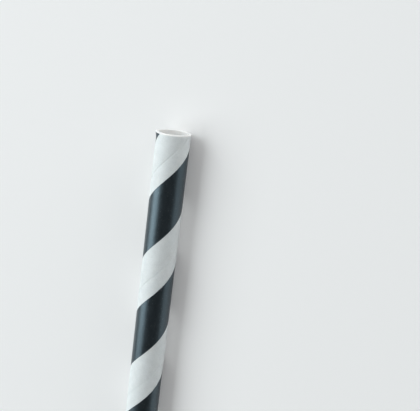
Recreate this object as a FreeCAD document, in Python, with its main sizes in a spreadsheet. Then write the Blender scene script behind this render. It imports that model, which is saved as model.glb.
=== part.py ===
import FreeCAD, Part
import os

import Sketcher

# Paper drinking straw, in millimetres.
# Plies of paper tape are wound and glued into one tube. The outer tape carries a black
# printed stripe, and its two edges butt in a fine helical seam inside the white stripe
# that stays between the print's turns. The straw lies along X on Z = 0, mouth at +X.
# Its outer ply is slightly flattened underneath, so that it lies still as paper straws do.

SIZES = {
    "straw_length": 197.0,
    "outer_diameter": 6.0,
    "wall_thickness": 0.4,
    "outer_ply_thickness": 0.1,
    "tape_width": 14.0,
    "print_width": 7.3,
    # The white left on the tape above its print, up to the seam.
    "print_margin": 2.4,
    # From the mouth's cut down to the first black edge, along the top of the straw.
    "print_start": 9.0,
    "seam_gap": 0.14,
    "seam_depth": 0.05,
    # How far a cutting shape stands out of the surface that it cuts.
    "tool_overlap": 0.5,
}

# One tape covers the whole tube, so its width and the tube's girth set the pitch:
# pitch = width / cos(angle), where sin(angle) = width / girth. A length across the
# tape becomes a length along the tube in the same way.
GIRTH = "(pi * Sizes.outer_diameter)"
COS_ANGLE = f"sqrt(1 - (Sizes.tape_width / {GIRTH}) ^ 2)"
PITCH = f"(Sizes.tape_width / {COS_ANGLE})"
PRINT_LENGTH = f"(Sizes.print_width / {COS_ANGLE})"
SEAM_LENGTH = f"(Sizes.seam_gap / {COS_ANGLE})"

# Heights of the upper edges, where they cross the top of the straw.
PRINT_TOP = "(Sizes.straw_length - Sizes.print_start)"
SEAM_TOP = f"({PRINT_TOP} + (Sizes.print_margin + Sizes.seam_gap) / {COS_ANGLE})"

OUTER_RADIUS = "Sizes.outer_diameter / 2"
PLY_RADIUS = f"({OUTER_RADIUS} - Sizes.outer_ply_thickness)"
BORE_RADIUS = f"({OUTER_RADIUS} - Sizes.wall_thickness)"

# The outer ply is pressed in underneath by this share of its thickness.
FLATTENED_SHARE = 0.6
REST_DISTANCE = f"({OUTER_RADIUS} - {FLATTENED_SHARE} * Sizes.outer_ply_thickness)"

# A helix is split into quarter turns, so that each face of its sweep stays simple.
TURNS_PER_SPAN = 0.25

# A band's helix runs on by this many turns, so that it leaves the straw at both ends.
SPARE_TURNS = 2

# The tube is built upright and laid down: its own Z becomes +X, and its own X points up.
LYING = FreeCAD.Rotation(FreeCAD.Vector(1, 0, 1), 180)
FACING_Y = FreeCAD.Rotation(FreeCAD.Vector(1, 0, 0), 90)


def make_sheet(doc):
    """Write the driving dimensions into a spreadsheet, one named cell each."""
    sheet = doc.addObject("Spreadsheet::Sheet", "Sizes")
    for row, (name, value) in enumerate(SIZES.items(), start=1):
        sheet.set(f"A{row}", name)
        sheet.set(f"B{row}", str(value))
        sheet.setAlias(f"B{row}", name)
    doc.recompute()


def add_cylinder(doc, name, radius, length="Sizes.straw_length", start="0"):
    """Add a cylinder on the tube's axis."""
    cylinder = doc.addObject("Part::Cylinder", name)
    cylinder.setExpression("Radius", radius)
    cylinder.setExpression("Height", length)
    cylinder.setExpression("Placement.Base.z", start)
    return cylinder


def add_boolean(doc, kind, name, base, tool):
    """Add a cut or a common of two shapes, with each turn's faces left apart."""
    result = doc.addObject(kind, name)
    result.Base = base
    result.Tool = tool
    result.Refine = False
    return result


def add_outside(doc, name):
    """Add a rod as thick as the straw, with the flat underneath on which it rests."""
    rod = add_cylinder(doc, f"{name}_rod", OUTER_RADIUS)
    below = doc.addObject("Part::Box", f"{name}_below")
    below.setExpression("Length", "Sizes.tool_overlap")
    below.setExpression("Width", "Sizes.outer_diameter")
    below.setExpression("Height", "Sizes.straw_length + 2 * Sizes.tool_overlap")
    below.setExpression("Placement.Base.x", f"-{REST_DISTANCE} - Sizes.tool_overlap")
    below.setExpression("Placement.Base.y", f"-{OUTER_RADIUS}")
    below.setExpression("Placement.Base.z", "-Sizes.tool_overlap")
    return add_boolean(doc, "Part::Cut", name, rod, below)


def add_ring(doc, name, inner_radius):
    """Add a tube of the straw's length, from the inner radius out to its surface."""
    outside = add_outside(doc, f"{name}_outside")
    inside = add_cylinder(
        doc,
        f"{name}_inside",
        inner_radius,
        length="Sizes.straw_length + 2 * Sizes.tool_overlap",
        start="-Sizes.tool_overlap",
    )
    return add_boolean(doc, "Part::Cut", name, outside, inside)


def add_section(doc, name, inner_radius, axial_length):
    """Draw the rectangle that a helical band has in a plane through the tube's axis."""
    sketch = doc.addObject("Sketcher::SketchObject", name)
    sketch.Placement.Rotation = FACING_Y
    # The corners are drawn roughly, and the named constraints give them their places.
    near, far, low, high = 2.0, 4.0, 0.0, 1.0
    corners = [
        FreeCAD.Vector(x, y, 0)
        for x, y in ((near, low), (far, low), (far, high), (near, high))
    ]
    for index, corner in enumerate(corners):
        following = (index + 1) % len(corners)
        sketch.addGeometry(Part.LineSegment(corner, corners[following]))
    for index in range(len(corners)):
        following = (index + 1) % len(corners)
        sketch.addConstraint(Sketcher.Constraint("Coincident", index, 2, following, 1))
        direction = "Vertical" if index % 2 else "Horizontal"
        sketch.addConstraint(Sketcher.Constraint(direction, index))
    sketch.addConstraint(Sketcher.Constraint("PointOnObject", 0, 1, -1))
    named_sizes = {
        "inside": (("DistanceX", -1, 1, 0, 1, near), inner_radius),
        "outside": (("DistanceX", -1, 1, 0, 2, far), f"{OUTER_RADIUS} + Sizes.tool_overlap"),
        "width": (("DistanceY", 1, 1, 1, 2, high), axial_length),
    }
    for label, (constraint, size) in named_sizes.items():
        index = sketch.addConstraint(Sketcher.Constraint(*constraint))
        sketch.renameConstraint(index, label)
        sketch.setExpression(f"Constraints.{label}", size)
    return sketch


def add_band(doc, name, inner_radius, axial_length, top):
    """Sweep a section up the winding's helix, past both ends of the straw.

    The band's upper edge crosses the top of the straw at the height that top gives.
    """
    turns = f"ceil({top} / {PITCH})"
    start = f"{top} - {axial_length} - {turns} * {PITCH}"
    helix = doc.addObject("Part::Helix", f"{name}_helix")
    # A long pitch at first, because each size takes effect as it is set.
    helix.Pitch = SIZES["straw_length"]
    helix.SegmentLength = TURNS_PER_SPAN
    helix.setExpression("Pitch", PITCH)
    helix.setExpression("Height", f"({turns} + {SPARE_TURNS}) * {PITCH}")
    helix.setExpression("Radius", OUTER_RADIUS)
    helix.setExpression("Placement.Base.z", start)
    section = add_section(doc, f"{name}_section", inner_radius, axial_length)
    section.setExpression("Placement.Base.z", start)
    band = doc.addObject("Part::Sweep", name)
    band.Sections = [section]
    band.Spine = helix
    band.Solid = True
    band.Frenet = True
    return band


def add_black_stripe(doc):
    """Make the printed field of the outer tape, one ply thick and flush with the tube."""
    ply = add_ring(doc, "Outer_ply", PLY_RADIUS)
    inner_radius = f"({PLY_RADIUS} - Sizes.tool_overlap)"
    print_band = add_band(doc, "Print", inner_radius, PRINT_LENGTH, PRINT_TOP)
    return add_boolean(doc, "Part::Common", "Black_stripe", ply, print_band)


def add_paper_tube(doc):
    """Make the wound tube, with a bed for the printed field and the outer tape's seam."""
    wall = add_ring(doc, "Wall", BORE_RADIUS)
    bedded_wall = add_boolean(doc, "Part::Cut", "Bedded_wall", wall, add_black_stripe(doc))
    inner_radius = f"({OUTER_RADIUS} - Sizes.seam_depth)"
    seam = add_band(doc, "Seam", inner_radius, SEAM_LENGTH, SEAM_TOP)
    return add_boolean(doc, "Part::Cut", "Paper_tube", bedded_wall, seam)


def lay_down(piece, label):
    """Name a sub-part and lay it along X, centred, on the ground."""
    piece.Label = label
    piece.Placement = FreeCAD.Placement(FreeCAD.Vector(), LYING)
    piece.setExpression("Placement.Base.x", "-Sizes.straw_length / 2")
    piece.setExpression("Placement.Base.z", REST_DISTANCE)
    return piece


def check(doc, pieces):
    """Stop if any object failed, or a sub-part isn't one valid solid."""
    for item in doc.Objects:
        if "Invalid" in item.State or "Error" in item.State:
            raise RuntimeError(f"{item.Name} failed: {item.State}")
    for piece in pieces:
        if piece.Shape.isNull() or not piece.Shape.isValid():
            raise RuntimeError(f"{piece.Label} has no valid shape")
        if len(piece.Shape.Solids) != 1:
            raise RuntimeError(f"{piece.Label} has {len(piece.Shape.Solids)} solids")


def main():
    """Build the straw and write one file for each sub-part."""
    doc = FreeCAD.newDocument("PaperStraw")
    make_sheet(doc)
    pieces = [
        lay_down(add_paper_tube(doc), "paper_tube"),
        lay_down(add_black_stripe(doc), "black_stripe"),
    ]
    doc.recompute()
    check(doc, pieces)
    os.makedirs("parts", exist_ok=True)
    for piece in pieces:
        piece.Shape.exportStep(f"parts/{piece.Label}.step")
        print(f"{piece.Label}: {piece.Shape.Volume:.3f} mm3")


main()
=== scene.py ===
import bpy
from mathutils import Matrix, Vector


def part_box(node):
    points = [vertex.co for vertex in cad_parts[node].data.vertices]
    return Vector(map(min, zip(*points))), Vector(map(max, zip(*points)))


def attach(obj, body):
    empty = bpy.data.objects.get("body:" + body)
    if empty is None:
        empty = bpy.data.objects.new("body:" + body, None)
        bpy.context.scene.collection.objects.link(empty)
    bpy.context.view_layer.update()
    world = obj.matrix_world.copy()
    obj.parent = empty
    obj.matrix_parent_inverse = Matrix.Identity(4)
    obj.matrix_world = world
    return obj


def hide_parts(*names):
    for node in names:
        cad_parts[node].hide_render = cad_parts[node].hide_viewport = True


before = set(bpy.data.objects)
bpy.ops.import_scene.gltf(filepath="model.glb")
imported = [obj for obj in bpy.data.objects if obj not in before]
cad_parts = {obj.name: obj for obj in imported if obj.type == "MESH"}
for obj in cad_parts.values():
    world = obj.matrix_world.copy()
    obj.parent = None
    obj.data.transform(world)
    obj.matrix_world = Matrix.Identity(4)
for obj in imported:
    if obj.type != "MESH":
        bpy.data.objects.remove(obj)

"""The looks of a paper drinking straw, in metres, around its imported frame.

The straw is a tube wound from paper tape. A helical strip of its surface is left white,
the other strip is printed black, and the tape's edges butt inside the white.
It lies along X with its mouth at +X, and the camera looks down on the mouth's end.
"""

import logging
import math
from dataclasses import dataclass
from enum import Enum
from typing import Callable

import bpy
from mathutils import Matrix, Vector, noise

LOG = logging.getLogger("paper_straw")

MM = 0.001
TURN = 2.0 * math.pi
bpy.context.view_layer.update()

WHITE = (1.0, 1.0, 1.0)
# The straw lies along this axis, and its mouth is at the far end.
ALONG = Vector((1.0, 0.0, 0.0))
# The angle between two faces from which the edge that they share is drawn sharp.
SHARP_ANGLE = math.radians(35.0)

Socket = bpy.types.NodeSocket
Colour = tuple[float, float, float]
Range = tuple[float, float]
# A vertex of the grid: what it lies on, its column and its number there.
Key = tuple[str, int, int]


class Skin(Enum):
    """The surfaces that a face of the straw can belong to."""

    WHITE = 0
    BLACK = 1
    BORE = 2
    CUT = 3


class Layer(Enum):
    """The two depths of the outer ply."""

    TOP = "top"
    BED = "bed"


class Ray(Enum):
    """The kinds of ray that see the studio's white surroundings."""

    CAMERA = "Is Camera Ray"
    GLOSSY = "Is Glossy Ray"
    TRANSMISSION = "Is Transmission Ray"


class Shader:
    """A material's node tree, with a short method for each step that the finishes use."""

    def __init__(self, name: str) -> None:
        """Make an empty material with one shader at its output.

        Args:
            name: the material's name.
        """
        self.material = bpy.data.materials.new(name)
        self.material.use_nodes = True
        self.tree = self.material.node_tree
        self.tree.nodes.clear()
        self.output = self.tree.nodes.new("ShaderNodeOutputMaterial")
        self.surface = self.tree.nodes.new("ShaderNodeBsdfPrincipled")
        self.tree.links.new(self.surface.outputs["BSDF"], self.output.inputs["Surface"])
        coordinates = self.tree.nodes.new("ShaderNodeTexCoord")
        self.place = coordinates.outputs["Object"]

    def link(self, source: Socket, target: Socket) -> None:
        """Join two sockets."""
        self.tree.links.new(source, target)

    def noise(
        self,
        grain: float,
        detail: float = 2.0,
        roughness: float = 0.5,
    ) -> Socket:
        """Add a noise whose features are about one grain wide.

        Args:
            grain: the width of a feature, in metres.
            detail: how many finer octaves it has.
            roughness: how strong the finer octaves are.

        Returns:
            The noise's value, about 0 to 1.
        """
        texture = self.tree.nodes.new("ShaderNodeTexNoise")
        texture.inputs["Scale"].default_value = 1.0 / grain
        texture.inputs["Detail"].default_value = detail
        texture.inputs["Roughness"].default_value = roughness
        self.link(self.place, texture.inputs["Vector"])
        return texture.outputs["Fac"]

    def spread(self, value: Socket, old: Range, new: Range) -> Socket:
        """Map a value from one range to another, held at the new range's ends.

        Args:
            value: the value to map.
            old: the range that it comes from.
            new: the range that it goes to.

        Returns:
            The mapped value.
        """
        node = self.tree.nodes.new("ShaderNodeMapRange")
        node.inputs["From Min"].default_value, node.inputs["From Max"].default_value = old
        node.inputs["To Min"].default_value, node.inputs["To Max"].default_value = new
        self.link(value, node.inputs["Value"])
        return node.outputs["Result"]

    def blend(self, factor: Socket, first: Colour | Socket, second: Colour) -> Socket:
        """Mix two colours.

        Args:
            factor: the share of the second colour, from 0 to 1.
            first: the colour at 0.
            second: the colour at 1.

        Returns:
            The mixed colour.
        """
        node = self.tree.nodes.new("ShaderNodeMix")
        node.data_type = "RGBA"
        self.link(factor, node.inputs["Factor"])
        if isinstance(first, tuple):
            node.inputs["A"].default_value = (*first, 1.0)
        else:
            self.link(first, node.inputs["A"])
        node.inputs["B"].default_value = (*second, 1.0)
        return node.outputs["Result"]

    def math(self, operation: str, first: Socket, second: float | Socket) -> Socket:
        """Combine two values.

        Args:
            operation: the name of the Math node's operation.
            first: its first value.
            second: its second value.

        Returns:
            The result of the named operation.
        """
        node = self.tree.nodes.new("ShaderNodeMath")
        node.operation = operation
        self.link(first, node.inputs[0])
        if isinstance(second, float):
            node.inputs[1].default_value = second
        else:
            self.link(second, node.inputs[1])
        return node.outputs["Value"]

    def bump(self, height: Socket, depth: float, strength: float) -> None:
        """Raise the surface.

        Args:
            height: where it rises, from 0 to 1.
            depth: how far it rises at 1, in metres.
            strength: how much of that shows.
        """
        node = self.tree.nodes.new("ShaderNodeBump")
        node.inputs["Strength"].default_value = strength
        node.inputs["Distance"].default_value = depth
        self.link(height, node.inputs["Height"])
        self.link(node.outputs["Normal"], self.surface.inputs["Normal"])


@dataclass(frozen=True)
class PaperFinish:
    """Matt uncoated paper: near white, with cloudy formation and fine fibres."""

    name: str
    light: Colour
    dark: Colour
    cloud: float = 1.1 * MM
    fibre: float = 0.16 * MM
    tooth: float = 0.016 * MM
    roughness: float = 0.55
    glow: float = 0.35
    glow_depth: float = 0.3 * MM
    glow_reach: Colour = (1.0, 0.95, 0.9)
    cloud_share: float = 0.45
    fibre_share: float = 0.55
    tone_range: Range = (0.36, 0.64)
    fibre_range: Range = (0.3, 0.7)
    roughness_change: float = 0.08
    tooth_strength: float = 0.8

    def material(self) -> bpy.types.Material:
        """Build the paper.

        Returns:
            The material.
        """
        shader = Shader(self.name)
        clouds = shader.noise(self.cloud, detail=3.0, roughness=0.6)
        fibres = shader.noise(self.fibre, detail=3.0, roughness=0.65)
        tone = shader.math(
            "ADD",
            shader.math("MULTIPLY", clouds, self.cloud_share),
            shader.math("MULTIPLY", fibres, self.fibre_share),
        )
        darkness = shader.spread(tone, self.tone_range, (1.0, 0.0))
        colour = shader.blend(darkness, self.light, self.dark)
        shader.link(colour, shader.surface.inputs["Base Color"])
        smoothest = self.roughness - self.roughness_change
        roughest = self.roughness + self.roughness_change
        rough = shader.spread(fibres, self.fibre_range, (smoothest, roughest))
        shader.link(rough, shader.surface.inputs["Roughness"])
        shader.surface.inputs["Specular IOR Level"].default_value = 0.5
        shader.surface.inputs["Subsurface Weight"].default_value = self.glow
        shader.surface.inputs["Subsurface Radius"].default_value = self.glow_reach
        shader.surface.inputs["Subsurface Scale"].default_value = self.glow_depth
        shader.bump(tone, self.tooth, self.tooth_strength)
        return shader.material


@dataclass(frozen=True)
class InkFinish:
    """Solid black ink on that paper: a satin skin, broken by a few bare fibres."""

    name: str
    ink: Colour
    worn: Colour
    bare: Colour
    sheen: Colour
    film: float = 0.5 * MM
    fibre: float = 0.14 * MM
    speck: float = 0.22 * MM
    tooth: float = 0.008 * MM
    tooth_strength: float = 0.6
    refraction: float = 1.62
    worn_range: Range = (0.35, 0.7)
    speck_range: Range = (0.72, 0.82)
    speck_share: float = 0.22
    film_range: Range = (0.3, 0.7)
    roughness_range: Range = (0.31, 0.43)

    def material(self) -> bpy.types.Material:
        """Build the ink.

        Returns:
            The material.
        """
        shader = Shader(self.name)
        film = shader.noise(self.film, detail=3.0, roughness=0.6)
        fibres = shader.noise(self.fibre, detail=2.0, roughness=0.6)
        specks = shader.noise(self.speck, detail=0.0)
        wear = shader.spread(film, self.worn_range, (0.0, 1.0))
        colour = shader.blend(wear, self.ink, self.worn)
        bareness = shader.spread(specks, self.speck_range, (0.0, self.speck_share))
        colour = shader.blend(bareness, colour, self.bare)
        shader.link(colour, shader.surface.inputs["Base Color"])
        rough = shader.spread(film, self.film_range, self.roughness_range)
        shader.link(rough, shader.surface.inputs["Roughness"])
        shader.surface.inputs["IOR"].default_value = self.refraction
        shader.surface.inputs["Specular IOR Level"].default_value = 1.0
        shader.surface.inputs["Specular Tint"].default_value = (*self.sheen, 1.0)
        shader.bump(shader.math("ADD", film, fibres), self.tooth, self.tooth_strength)
        return shader.material


@dataclass(frozen=True)
class StudioFinish:
    """A plain white surface that fades to pure white far from the straw, as its glow rises."""

    name: str
    colour: Colour
    glow: float
    far_glow: float = 0.9
    fade: Range = (0.45, 1.7)
    roughness: float = 0.9

    def material(self) -> bpy.types.Material:
        """Build the surface: matt, with a glow that lights nothing.

        Returns:
            The material.
        """
        shader = Shader(self.name)
        shader.surface.inputs["Base Color"].default_value = (*self.colour, 1.0)
        shader.surface.inputs["Roughness"].default_value = self.roughness
        shader.surface.inputs["Specular IOR Level"].default_value = 0.0
        shader.surface.inputs["Emission Color"].default_value = (*WHITE, 1.0)
        path = shader.tree.nodes.new("ShaderNodeLightPath")
        camera, glossy, through = (path.outputs[ray.value] for ray in Ray)
        seen = shader.math("MAXIMUM", shader.math("MAXIMUM", camera, glossy), through)
        distance = shader.tree.nodes.new("ShaderNodeVectorMath")
        distance.operation = "LENGTH"
        shader.link(shader.place, distance.inputs[0])
        glow = shader.spread(distance.outputs["Value"], self.fade, (self.glow, self.far_glow))
        strength = shader.math("MULTIPLY", seen, glow)
        shader.link(strength, shader.surface.inputs["Emission Strength"])
        return shader.material


@dataclass(frozen=True)
class Row:
    """One helical line of the surface within a pitch.

    It has an offset from the print's lower edge, the skin of the strip above it, and a
    depth below the surface.
    """

    offset: float
    skin: Skin
    sunk: float = 0.0


@dataclass
class Winding:
    """How the outer tape goes round the tube, and where its print and its seam lie.

    Widths and margins are measured across the tape, and print_start along the straw's top.
    """

    length: float
    radius: float
    axis_height: float
    tape_width: float = 14.0 * MM
    print_width: float = 7.3 * MM
    print_margin: float = 2.4 * MM
    print_start: float = 9.0 * MM
    seam_gap: float = 0.14 * MM
    seam_depth: float = 0.05 * MM
    seam_shoulder: float = 0.03 * MM
    rows_in_print: int = 14
    rows_below_seam: int = 7
    rows_above_seam: int = 11
    columns: int = 144

    @property
    def pitch(self) -> float:
        """Return the length of tube that one turn covers."""
        girth = TURN * self.radius
        return self.tape_width / math.sqrt(1.0 - (self.tape_width / girth) ** 2)

    def along(self, width: float) -> float:
        """Return the length along the tube of a width across the tape."""
        return width * self.pitch / self.tape_width

    def print_edge(self) -> float:
        """Return where the lower edge of the print's first turn crosses the straw's top."""
        return self.length / 2.0 - self.print_start - self.along(self.print_width)

    def seam(self) -> float:
        """Return how far the seam's middle lies above the lower edge of the print."""
        return self.along(self.print_width + self.print_margin + self.seam_gap / 2.0)

    def rows(self) -> list[Row]:
        """Lay out the lines of one pitch, from the print's lower edge upwards.

        Returns:
            The rows: the print's, the white's up to the seam, the seam's and the last white's.
        """
        print_length = self.along(self.print_width)
        half_gap = self.along(self.seam_gap) / 2.0
        shoulder = self.along(self.seam_shoulder)
        seam = self.seam()
        below = seam - half_gap - shoulder - print_length
        above = self.pitch - seam - half_gap - shoulder
        rows = [
            Row(print_length * index / self.rows_in_print, Skin.BLACK)
            for index in range(self.rows_in_print)
        ]
        rows += [
            Row(print_length + below * index / self.rows_below_seam, Skin.WHITE)
            for index in range(self.rows_below_seam)
        ]
        rows += [
            Row(seam - half_gap - shoulder, Skin.WHITE),
            Row(seam - half_gap, Skin.WHITE, self.seam_depth),
            Row(seam + half_gap, Skin.WHITE, self.seam_depth),
        ]
        rows += [
            Row(seam + half_gap + shoulder + above * index / self.rows_above_seam, Skin.WHITE)
            for index in range(self.rows_above_seam)
        ]
        return rows


@dataclass(frozen=True)
class Lip:
    """A place beside the mouth where the wall is pressed in or, with a depth below 0, out."""

    angle: float
    below_mouth: float
    depth: float
    length: float
    spread: float

    def inset(self, angle: float, below_mouth: float) -> float:
        """Work out how far the wall is pressed in at a place.

        Args:
            angle: the place's angle round the straw, from its top.
            below_mouth: its distance below the mouth.

        Returns:
            The inset, below 0 where the wall is pressed out.
        """
        turned = math.remainder(angle - self.angle, TURN)
        across = math.exp(-((turned / self.spread) ** 2))
        down = math.exp(-(((below_mouth - self.below_mouth) / self.length) ** 2))
        return self.depth * across * down


@dataclass
class StrawTube:
    """The sizes of the wound tube, and how its real surface departs from a perfect one.

    The rounding gives, for each ring of the outer edge up to the cut, how far it lies back
    from the cut and how far inside the surface. In the cut ends, one line between two plies
    lies at ply_depth and the other at inner_ply_radius.
    """

    winding: Winding
    bore_radius: float = 2.6 * MM
    ply_depth: float = 0.1 * MM
    inner_ply_radius: float = 2.75 * MM
    rim_length: float = 0.34 * MM
    rounding: tuple[tuple[float, float], ...] = (
        (0.22 * MM, 0.0),
        (0.11 * MM, 0.014 * MM),
        (0.035 * MM, 0.038 * MM),
        (0.0, 0.072 * MM),
    )
    bore_chamfer: float = 0.05 * MM
    ply_groove: float = 0.03 * MM
    ply_groove_side: float = 0.03 * MM
    cut_roughness: float = 0.035 * MM
    cut_waves: float = 7.0
    out_of_round: float = 0.03 * MM
    oval_twist: float = 30.0 * MM
    ply_edges: tuple[float, ...] = (0.022 * MM, 0.006 * MM, 0.010 * MM)
    ply_edge_width: float = 0.7 * MM
    wander: float = 0.014 * MM
    wander_scale: float = 5.0 * MM
    # Where the bore's regular rings begin, and how far apart they lie.
    bore_start: float = 0.4 * MM
    bore_step: float = 2.0 * MM
    # A row that ends this close to the rim is gathered onto it.
    snap: float = 0.02 * MM
    lips: tuple[Lip, ...] = ()

    def angle(self, column: int) -> float:
        """Return a column's angle round the tube, from its top."""
        return TURN * column / self.winding.columns

    def half(self) -> float:
        """Return half the straw's length."""
        return self.winding.length / 2.0

    def relief(self, x: float, angle: float) -> float:
        """Work out how far the real surface lies inside a perfect tube.

        Args:
            x: the place along the straw.
            angle: the angle round it, from its top.

        Returns:
            The inset: a slight ovality, a shallow valley at the edges of each ply's
            tape, a slow wander of the paper, the lips beside the mouth, and the flat
            underneath on which the straw rests.
        """
        winding = self.winding
        inset = self.out_of_round * (1.0 + math.cos(2.0 * angle + x / self.oval_twist)) / 2.0
        turns = (x - winding.print_edge() - winding.seam()) / winding.pitch - angle / TURN
        for ply, depth in enumerate(self.ply_edges):
            edge = math.remainder(turns - ply / len(self.ply_edges), 1.0) * winding.pitch
            inset += depth * math.exp(-((edge / self.ply_edge_width) ** 2))
        spot = Vector((x, winding.radius * math.sin(angle), winding.radius * math.cos(angle)))
        inset += self.wander * (1.0 + noise.noise(spot / self.wander_scale)) / 2.0
        for lip in self.lips:
            inset += lip.inset(angle, self.half() - x)
        down = -math.cos(angle)
        if down > 0.0:
            inset = max(inset, winding.radius - winding.axis_height / down)
        return inset

    def point(self, x: float, angle: float, radius: float) -> Vector:
        """Find a point of the tube, with the surface's relief.

        Args:
            x: the place along the straw.
            angle: the angle round it, from its top.
            radius: the distance from its axis on a perfect tube.

        Returns:
            The point.
        """
        real = radius - self.relief(x, angle)
        height = self.winding.axis_height + real * math.cos(angle)
        return Vector((x, -real * math.sin(angle), height))

    def rough_cut(self, column: int, end: int, ring: int) -> float:
        """Work out how far the knife's cut falls short of square.

        Args:
            column: the column at which it is asked.
            end: 1 for the mouth, -1 for the foot.
            ring: the number of the ring, so that each ring is a little different.

        Returns:
            The distance by which the ring lies back from the cut.
        """
        angle = self.angle(column)
        # The rings and the two ends lie this far apart in the noise.
        ring_gap, end_gap = 0.37, 5.0
        spot = Vector((math.cos(angle), math.sin(angle), ring_gap * ring + end_gap * end))
        return self.cut_roughness * (0.5 + 0.5 * noise.noise(spot * self.cut_waves))


class SurfaceGrid:
    """The outer surface as cells between helical rows and straight columns.

    The rows run off both ends of the straw, so what lies past an end is gathered onto the
    rim's first ring.
    """

    def __init__(self, tube: StrawTube) -> None:
        """Lay out the cells.

        Args:
            tube: the tube whose surface this is.
        """
        self.tube = tube
        self.winding = tube.winding
        self.rows = self.winding.rows()
        self.places: dict[Key, tuple[float, float, float]] = {}
        self.cells: list[tuple[tuple[Key, ...], Skin]] = []
        self.rim_skins: dict[tuple[int, int], Skin] = {}
        self.bare: set[tuple[Key, ...]] = set()
        self.last_ring = len(tube.rounding)
        self.lay_strips()
        self.lay_rims()

    def row_key(self, column: int, line: int) -> Key:
        """Name the vertex where a line crosses a column, and store its place.

        Args:
            column: the column, which may be one past the last.
            line: the row's number, counted on through all the turns.

        Returns:
            The vertex's name.
        """
        winding = self.winding
        if column == winding.columns:
            column, line = 0, line + len(self.rows)
        turn, index = divmod(line, len(self.rows))
        row = self.rows[index]
        x = winding.print_edge() + winding.pitch * (turn + column / winding.columns) + row.offset
        limit = self.tube.half() - self.tube.rim_length
        if x > limit - self.tube.snap:
            key = ("ring", column, 0)
            self.places[key] = (limit, self.tube.angle(column), 0.0)
        elif x < self.tube.snap - limit:
            key = ("foot", column, 0)
            self.places[key] = (-limit, self.tube.angle(column), 0.0)
        else:
            key = ("row", column, line)
            self.places[key] = (x, self.tube.angle(column), row.sunk)
        return key

    def lay_strips(self) -> None:
        """Make the cells between the two rims."""
        winding = self.winding
        # The helical rows need two turns more than the straw has, to run off both its ends.
        turns = math.ceil(winding.length / winding.pitch) + 2
        for column in range(winding.columns):
            for line in range(-turns * len(self.rows), len(self.rows)):
                corners = (
                    self.row_key(column, line),
                    self.row_key(column + 1, line),
                    self.row_key(column + 1, line + 1),
                    self.row_key(column, line + 1),
                )
                cell = tuple(dict.fromkeys(corners))
                if len(cell) < 3:
                    continue
                skin = self.rows[line % len(self.rows)].skin
                self.cells.append((cell, skin))
                for end, kind in ((1, "ring"), (-1, "foot")):
                    if sum(key[0] == kind for key in cell) == 2:
                        self.rim_skins[(end, column)] = skin

    def lay_rims(self) -> None:
        """Make the short straight bands at both ends, and the rounded edge of bare paper."""
        tube = self.tube
        for (end, column), skin in sorted(self.rim_skins.items()):
            kind = "ring" if end > 0 else "foot"
            following = (column + 1) % self.winding.columns
            for number, (back, sunk) in enumerate(tube.rounding, start=1):
                for place in (column, following):
                    x = end * (tube.half() - back - tube.rough_cut(place, end, 0))
                    self.places[(kind, place, number)] = (x, tube.angle(place), sunk)
            for number in range(self.last_ring):
                cell = (
                    (kind, column, number),
                    (kind, following, number),
                    (kind, following, number + 1),
                    (kind, column, number + 1),
                )
                self.cells.append((cell if end > 0 else cell[::-1], skin))
                if number > 0:
                    self.bare.add(self.cells[-1][0])


class MeshMaker:
    """Collects named vertices and faces, and turns them into one object."""

    def __init__(self, name: str) -> None:
        """Start an empty mesh.

        Args:
            name: the name of the object that it becomes.
        """
        self.name = name
        self.index: dict[tuple, int] = {}
        self.points: list[Vector] = []
        self.faces: list[tuple[int, ...]] = []
        self.skins: list[Skin] = []

    def vertex(self, key: tuple, place: Callable[[], Vector]) -> int:
        """Find a vertex, and make it if it is new.

        Args:
            key: the vertex's name.
            place: gives its point, where it has to be made.

        Returns:
            The vertex's number.
        """
        if key not in self.index:
            self.index[key] = len(self.points)
            self.points.append(place())
        return self.index[key]

    def face(self, corners: list[int], skin: Skin) -> None:
        """Add a face, unless its corners fall together.

        Args:
            corners: the numbers of its vertices.
            skin: what it shows.
        """
        ring = list(dict.fromkeys(corners))
        if len(ring) >= 3:
            self.faces.append(tuple(ring))
            self.skins.append(skin)

    def build(self, materials: dict[Skin, bpy.types.Material]) -> bpy.types.Object:
        """Make the object and put it in the scene.

        Args:
            materials: the material of each skin that the faces use.

        Returns:
            The object, smooth on its skins and sharp at its edges.
        """
        mesh = bpy.data.meshes.new(self.name)
        mesh.from_pydata(self.points, [], self.faces)
        used = [skin for skin in Skin if skin in set(self.skins)]
        for skin in used:
            mesh.materials.append(materials[skin])
        for polygon, skin in zip(mesh.polygons, self.skins):
            polygon.material_index = used.index(skin)
            polygon.use_smooth = True
        mesh.set_sharp_from_angle(angle=SHARP_ANGLE)
        mesh.update()
        piece = bpy.data.objects.new(self.name, mesh)
        bpy.context.scene.collection.objects.link(piece)
        return piece


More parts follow.
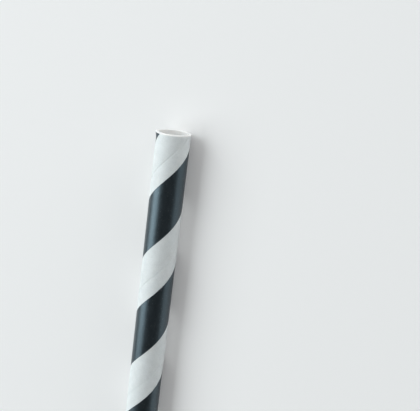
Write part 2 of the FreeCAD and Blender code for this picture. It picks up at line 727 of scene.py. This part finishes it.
class StrawBuilder:
    """Builds the two meshes of a straw from its surface grid, and dresses them."""

    def __init__(self, tube: StrawTube) -> None:
        """Prepare the grid that both meshes share.

        Args:
            tube: the sizes of the tube.
        """
        self.tube = tube
        self.grid = SurfaceGrid(tube)

    def on_cut(self, key: Key) -> bool:
        """Tell whether a vertex lies on the cut at an end."""
        return key[0] != "row" and key[2] == self.grid.last_ring

    def key_point(self, key: Key, layer: Layer) -> Vector:
        """Find the place of a vertex of the grid.

        Args:
            key: the vertex's name.
            layer: whether it is wanted on the paper's surface or on the ply below it.

        Returns:
            The place. On the cut, the ply below lies back by the groove between the two.
        """
        x, angle, sunk = self.grid.places[key]
        radius = self.tube.winding.radius - sunk
        if layer is Layer.BED:
            radius = self.tube.winding.radius - self.tube.ply_depth
            if self.on_cut(key):
                x -= math.copysign(self.tube.ply_groove, x)
        return self.tube.point(x, angle, radius)

    def layer_vertex(self, mesh: MeshMaker, key: Key, layer: Layer) -> int:
        """Return the number of a grid vertex at one depth."""
        return mesh.vertex((key, layer), lambda: self.key_point(key, layer))

    def add_cell(
        self, mesh: MeshMaker, cell: tuple[Key, ...], layer: Layer, skin: Skin, inward: bool
    ) -> None:
        """Add a cell of the grid at one depth.

        Args:
            mesh: the mesh that gets it.
            cell: its vertices' names.
            layer: the depth.
            skin: what it shows.
            inward: whether it faces the straw's axis.
        """
        corners = [self.layer_vertex(mesh, key, layer) for key in cell]
        mesh.face(corners[::-1] if inward else corners, skin)

    def borders(self, skin: Skin) -> list[tuple[Key, Key]]:
        """Find the edges of all the cells of a skin that no other cell of it shares.

        Args:
            skin: the skin.

        Returns:
            The edges, each in the direction in which its cell runs.
        """
        # The keys of a dictionary keep their order, which a set would not.
        edges: dict[tuple[Key, Key], None] = {}
        for cell, cell_skin in self.grid.cells:
            if cell_skin is skin:
                edges.update(dict.fromkeys(zip(cell, cell[1:] + cell[:1])))
        return [edge for edge in edges if (edge[1], edge[0]) not in edges]

    def add_wall(
        self, mesh: MeshMaker, edge: tuple[Key, Key], skin: Skin, outward: bool
    ) -> None:
        """Join a border's edge on the surface to the same edge on the ply below.

        Args:
            mesh: the mesh that gets the wall.
            edge: the edge.
            skin: what the wall shows.
            outward: whether it faces away from the cells that the edge bounds.
        """
        first, second = edge
        corners = [
            self.layer_vertex(mesh, key, layer)
            for key, layer in (
                (second, Layer.TOP),
                (first, Layer.TOP),
                (first, Layer.BED),
                (second, Layer.BED),
            )
        ]
        mesh.face(corners if outward else corners[::-1], skin)

    def stripe(self, name: str, materials: dict[Skin, bpy.types.Material]) -> bpy.types.Object:
        """Build the printed stripe, one ply thick.

        Args:
            name: the object's name.
            materials: the material of each skin.

        Returns:
            The object.
        """
        mesh = MeshMaker(name)
        for cell, skin in self.grid.cells:
            if skin is Skin.BLACK:
                paint = Skin.CUT if cell in self.grid.bare else Skin.BLACK
                self.add_cell(mesh, cell, Layer.TOP, paint, inward=False)
                self.add_cell(mesh, cell, Layer.BED, Skin.BLACK, inward=True)
        for edge in self.borders(Skin.BLACK):
            skin = Skin.CUT if all(map(self.on_cut, edge)) else Skin.BLACK
            self.add_wall(mesh, edge, skin, outward=True)
        return mesh.build(materials)

    def tube_mesh(self, name: str, materials: dict[Skin, bpy.types.Material]) -> bpy.types.Object:
        """Build the wound tube, with the bed in which the printed stripe lies.

        Args:
            name: the object's name.
            materials: the material of each skin.

        Returns:
            The object.
        """
        mesh = MeshMaker(name)
        for cell, skin in self.grid.cells:
            if skin is Skin.WHITE:
                paint = Skin.CUT if cell in self.grid.bare else Skin.WHITE
                self.add_cell(mesh, cell, Layer.TOP, paint, inward=False)
            else:
                self.add_cell(mesh, cell, Layer.BED, Skin.WHITE, inward=False)
        for edge in self.borders(Skin.BLACK):
            if not all(map(self.on_cut, edge)):
                self.add_wall(mesh, edge, Skin.WHITE, outward=False)
        for edge in self.borders(Skin.WHITE):
            if all(map(self.on_cut, edge)):
                self.add_wall(mesh, edge, Skin.CUT, outward=True)
        self.add_ends(mesh)
        self.add_bore(mesh)
        return mesh.build(materials)

    def end_rings(self) -> list[tuple[float, float]]:
        """List the rings of a cut end below the outer ply, from there down to the bore.

        Returns:
            Each ring's radius and how far it lies back from the cut.
        """
        tube = self.tube
        bed = tube.winding.radius - tube.ply_depth
        side = tube.ply_groove_side
        inner = tube.inner_ply_radius
        return [
            (bed - side, 0.0),
            (inner + side, 0.0),
            (inner, tube.ply_groove),
            (inner - side, 0.0),
            (tube.bore_radius + tube.bore_chamfer, 0.0),
            (tube.bore_radius + tube.bore_chamfer / 3.0, tube.bore_chamfer / 3.0),
            (tube.bore_radius, tube.bore_chamfer),
            (tube.bore_radius, 3.0 * tube.bore_chamfer),
        ]

    def end_vertex(self, mesh: MeshMaker, end: int, column: int, number: int) -> int:
        """Find a vertex of a cut end.

        Args:
            mesh: the mesh that it belongs to.
            end: 1 for the mouth, -1 for the foot.
            column: the vertex's column.
            number: its ring's number, where 0 lies under the outer ply's cut edge.

        Returns:
            The vertex's number.
        """
        tube = self.tube
        column %= tube.winding.columns
        if number == 0:
            key = ("ring" if end > 0 else "foot", column, self.grid.last_ring)
            return self.layer_vertex(mesh, key, Layer.BED)
        radius, back = self.end_rings()[number - 1]
        x = end * (tube.half() - back - tube.rough_cut(column, end, number))
        return mesh.vertex(
            ("end", end, column, number), lambda: tube.point(x, tube.angle(column), radius)
        )

    def add_ends(self, mesh: MeshMaker) -> None:
        """Close both cut ends between the outer ply and the bore, with the plies' edges.

        Args:
            mesh: the mesh that gets them.
        """
        rings = self.end_rings()
        for end in (1, -1):
            for column in range(self.tube.winding.columns):
                for number in range(len(rings)):
                    corners = [
                        self.end_vertex(mesh, end, column, number),
                        self.end_vertex(mesh, end, column + 1, number),
                        self.end_vertex(mesh, end, column + 1, number + 1),
                        self.end_vertex(mesh, end, column, number + 1),
                    ]
                    skin = Skin.BORE if number == len(rings) - 1 else Skin.CUT
                    mesh.face(corners if end > 0 else corners[::-1], skin)

    def add_bore(self, mesh: MeshMaker) -> None:
        """Line the tube with its inner ply.

        Args:
            mesh: the mesh that gets the lining.
        """
        tube = self.tube
        columns = tube.winding.columns
        start = tube.half() - tube.bore_start
        count = math.ceil(2.0 * start / tube.bore_step)
        last = len(self.end_rings())

        def vertex(column: int, number: int) -> int:
            """Find a vertex of the bore. The first and last rings are the cut ends' own.

            Args:
                column: the vertex's column.
                number: its ring's number, from the mouth.

            Returns:
                The vertex's number.
            """
            if number == 0:
                return self.end_vertex(mesh, 1, column, last)
            if number == count + 2:
                return self.end_vertex(mesh, -1, column, last)
            column %= columns
            x = start - 2.0 * start * (number - 1) / count
            return mesh.vertex(
                ("bore", column, number),
                lambda: tube.point(x, tube.angle(column), tube.bore_radius),
            )

        for column in range(columns):
            for number in range(count + 2):
                corners = [
                    vertex(column, number),
                    vertex(column + 1, number),
                    vertex(column + 1, number + 1),
                    vertex(column, number + 1),
                ]
                mesh.face(corners, Skin.BORE)


@dataclass
class Straw:
    """The whole straw: its paper tube and its printed stripe."""

    white: PaperFinish = PaperFinish(
        "white_paper", light=(0.85, 0.89, 0.895), dark=(0.755, 0.795, 0.80)
    )
    # The bore's paper is lighter than the outer paper: partly the inner ply's own colour, partly
    # painted light that stands in for the light reaching into the bore.
    inner: PaperFinish = PaperFinish(
        "inner_paper_and_painted_light", light=(0.93, 0.93, 0.92), dark=(0.86, 0.86, 0.85)
    )
    # The paper of the cut ends and rounded rims is lighter than the outer paper: partly bare
    # paper's own colour, partly a painted highlight for the bright rim at the mouth.
    cut: PaperFinish = PaperFinish(
        "cut_paper_and_painted_highlight", light=(0.93, 0.935, 0.93), dark=(0.82, 0.825, 0.82), fibre=0.07 * MM
    )
    black: InkFinish = InkFinish(
        "black_ink",
        ink=(0.007, 0.008, 0.009),
        worn=(0.013, 0.014, 0.016),
        bare=(0.30, 0.32, 0.33),
        sheen=(0.62, 0.86, 1.0),
    )
    lips: tuple[Lip, ...] = (
        Lip(math.radians(-56.0), -0.1 * MM, -0.22 * MM, 0.55 * MM, math.radians(20.0)),
        Lip(math.radians(-60.0), 1.6 * MM, 0.05 * MM, 0.8 * MM, math.radians(34.0)),
        Lip(math.radians(118.0), -0.1 * MM, -0.10 * MM, 0.7 * MM, math.radians(20.0)),
    )

    def winding(self) -> Winding:
        """Measure the tube in the frame. Its flat underneath makes it lower than it is wide.

        Returns:
            The winding, with the tube's length, radius and axis.
        """
        low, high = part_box("paper_tube")
        radius = (high[1] - low[1]) / 2.0
        return Winding(high[0] - low[0], radius, axis_height=high[2] - radius)

    def build(self) -> list[bpy.types.Object]:
        """Build both meshes, dress them and tie them to the frame.

        Returns:
            The tube and the stripe.
        """
        materials = {
            Skin.WHITE: self.white.material(),
            Skin.BLACK: self.black.material(),
            Skin.BORE: self.inner.material(),
            Skin.CUT: self.cut.material(),
        }
        builder = StrawBuilder(StrawTube(self.winding(), lips=self.lips))
        tube = builder.tube_mesh("wound_paper_tube", materials)
        stripe = builder.stripe("printed_black_stripe", materials)
        for piece, node, slot in (
            (tube, "paper_tube", "white_paper"),
            (stripe, "black_stripe", "black_print"),
        ):
            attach(piece, "root")
            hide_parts(node)
        return [tube, stripe]


@dataclass(frozen=True)
class Softbox:
    """A soft lamp that shines on the straw from a direction around it."""

    name: str
    from_top: float
    towards_mouth: float
    distance: float
    width: float
    length: float
    power: float
    colour: Colour = (1.0, 1.0, 1.0)

    def build(self, target: Vector) -> bpy.types.Object:
        """Place the lamp.

        Args:
            target: the point that it faces.

        Returns:
            The lamp. It is turned so that its length runs along the straw.
        """
        swing = Vector((0.0, -math.sin(self.from_top), math.cos(self.from_top)))
        back = swing * math.cos(self.towards_mouth) + ALONG * math.sin(self.towards_mouth)
        data = bpy.data.lights.new(self.name, "AREA")
        data.shape = "RECTANGLE"
        data.size = self.length
        data.size_y = self.width
        data.energy = self.power
        data.color = self.colour
        lamp = bpy.data.objects.new(self.name, data)
        lamp.visible_camera = False
        side = (ALONG - back * ALONG.dot(back)).normalized()
        axes = Matrix((side, back.cross(side), back)).transposed()
        place = target + back * self.distance
        lamp.matrix_world = Matrix.LocRotScale(place, axes.to_quaternion(), None)
        bpy.context.scene.collection.objects.link(lamp)
        return lamp


@dataclass
class PhotoCamera:
    """The camera, placed from where the straw's mouth lies in the photograph.

    The straw's mouth is seen at a pixel and a depth, and from there the straw leans to the
    left in the image and away from the camera. The camera stands to one side of the straw's
    top, at an angle round it.
    """

    image_width: float = 420.0
    image_height: float = 411.0
    sensor_width: float = 36.0
    focal_length: float = 64.3
    mouth_pixel: tuple[float, float] = (174.0, 132.3)
    mouth_depth: float = 127.15 * MM
    lean: float = math.radians(7.5)
    tilt: float = math.radians(14.7)
    round_straw: float = math.radians(30.0)
    clip_start: float = 5.0 * MM

    def build(self, mouth: Vector) -> bpy.types.Object:
        """Place the camera.

        The straw's axes as the camera sees them are set against its real ones, which gives
        the camera's turn. Its place follows from the mouth, which is seen in its pixel.

        Args:
            mouth: the middle of the straw's mouth.

        Returns:
            The camera, set as the scene's own.
        """
        focal_pixels = self.focal_length / self.sensor_width * self.image_width
        across = (self.mouth_pixel[0] - self.image_width / 2.0) / focal_pixels
        down = (self.mouth_pixel[1] - self.image_height / 2.0) / focal_pixels
        seen = Vector((across, -down, -1.0)) * self.mouth_depth
        axis = Vector(
            (
                math.sin(self.lean) * math.cos(self.tilt),
                math.cos(self.lean) * math.cos(self.tilt),
                math.sin(self.tilt),
            )
        )
        facing = (-seen - axis * (-seen).dot(axis)).normalized()
        seen_axes = Matrix((axis, facing, axis.cross(facing)))
        outward = Vector((0.0, -math.sin(self.round_straw), math.cos(self.round_straw)))
        real_axes = Matrix((ALONG, outward, ALONG.cross(outward)))
        turn = real_axes.transposed() @ seen_axes
        data = bpy.data.cameras.new("camera")
        data.lens = self.focal_length
        data.sensor_width = self.sensor_width
        data.clip_start = self.clip_start
        camera = bpy.data.objects.new("camera", data)
        camera.matrix_world = Matrix.LocRotScale(mouth - turn @ seen, turn.to_quaternion(), None)
        bpy.context.scene.collection.objects.link(camera)
        bpy.context.scene.camera = camera
        return camera


@dataclass
class Studio:
    """A plain white studio: floor, soft lamps and an even surround."""

    floor_size: float = 4.0
    floor: StudioFinish = StudioFinish("floor_white", (0.75, 0.75, 0.75), 0.17)
    surround: Colour = (0.94, 1.0, 1.0)
    surround_strength: float = 0.08
    lit_below_mouth: float = 25.0 * MM
    lamps: tuple[Softbox, ...] = (
        Softbox(
            "key",
            from_top=math.radians(-46.0),
            towards_mouth=math.radians(8.0),
            distance=1.05,
            width=0.96,
            length=1.50,
            power=14.2,
            colour=(0.94, 0.99, 1.0),
        ),
        Softbox(
            "fill",
            from_top=math.radians(82.0),
            towards_mouth=math.radians(46.0),
            distance=1.25,
            width=0.70,
            length=0.90,
            power=8.8,
        ),
        Softbox(
            "mouth_light",
            from_top=math.radians(10.0),
            towards_mouth=math.radians(66.0),
            distance=1.25,
            width=0.75,
            length=0.75,
            power=4.6,
        ),
    )

    def build(self, mouth: Vector) -> None:
        """Set up the floor, the surround and the lamps.

        Args:
            mouth: the middle of the straw's mouth. The lamps face the straw just below it.
        """
        self.lay_floor()
        self.light_surround()
        for lamp in self.lamps:
            lamp.build(mouth - ALONG * self.lit_below_mouth)
        bpy.context.scene.view_settings.view_transform = "Standard"

    def lay_floor(self) -> None:
        """Lay the floor at the ground's level."""
        half = self.floor_size / 2.0
        mesh = bpy.data.meshes.new("floor")
        rim = [(-half, -half, 0.0), (half, -half, 0.0), (half, half, 0.0), (-half, half, 0.0)]
        mesh.from_pydata(rim, [], [(0, 1, 2, 3)])
        mesh.materials.append(self.floor.material())
        floor = bpy.data.objects.new("floor", mesh)
        bpy.context.scene.collection.objects.link(floor)

    def light_surround(self) -> None:
        """Light the scene evenly from all round; the surround itself shows white."""
        world = bpy.data.worlds.new("surround")
        world.use_nodes = True
        tree = world.node_tree
        tree.nodes.clear()
        output = tree.nodes.new("ShaderNodeOutputWorld")
        even = tree.nodes.new("ShaderNodeBackground")
        even.inputs["Color"].default_value = (*self.surround, 1.0)
        even.inputs["Strength"].default_value = self.surround_strength
        white = tree.nodes.new("ShaderNodeBackground")
        white.inputs["Color"].default_value = (*WHITE, 1.0)
        path = tree.nodes.new("ShaderNodeLightPath")
        choice = tree.nodes.new("ShaderNodeMixShader")
        tree.links.new(path.outputs[Ray.CAMERA.value], choice.inputs["Fac"])
        tree.links.new(even.outputs["Background"], choice.inputs[1])
        tree.links.new(white.outputs["Background"], choice.inputs[2])
        tree.links.new(choice.outputs["Shader"], output.inputs["Surface"])
        bpy.context.scene.world = world


def main() -> None:
    """Build the straw, the studio and the camera, and note the sizes."""
    logging.basicConfig(level=logging.INFO)
    straw = Straw()
    for piece in straw.build():
        LOG.info("%s: %d faces", piece.name, len(piece.data.polygons))
    winding = straw.winding()
    mouth = Vector((winding.length / 2.0, 0.0, winding.axis_height))
    Studio().build(mouth)
    PhotoCamera().build(mouth)
    bpy.context.view_layer.update()


if __name__ == "__main__":
    main()
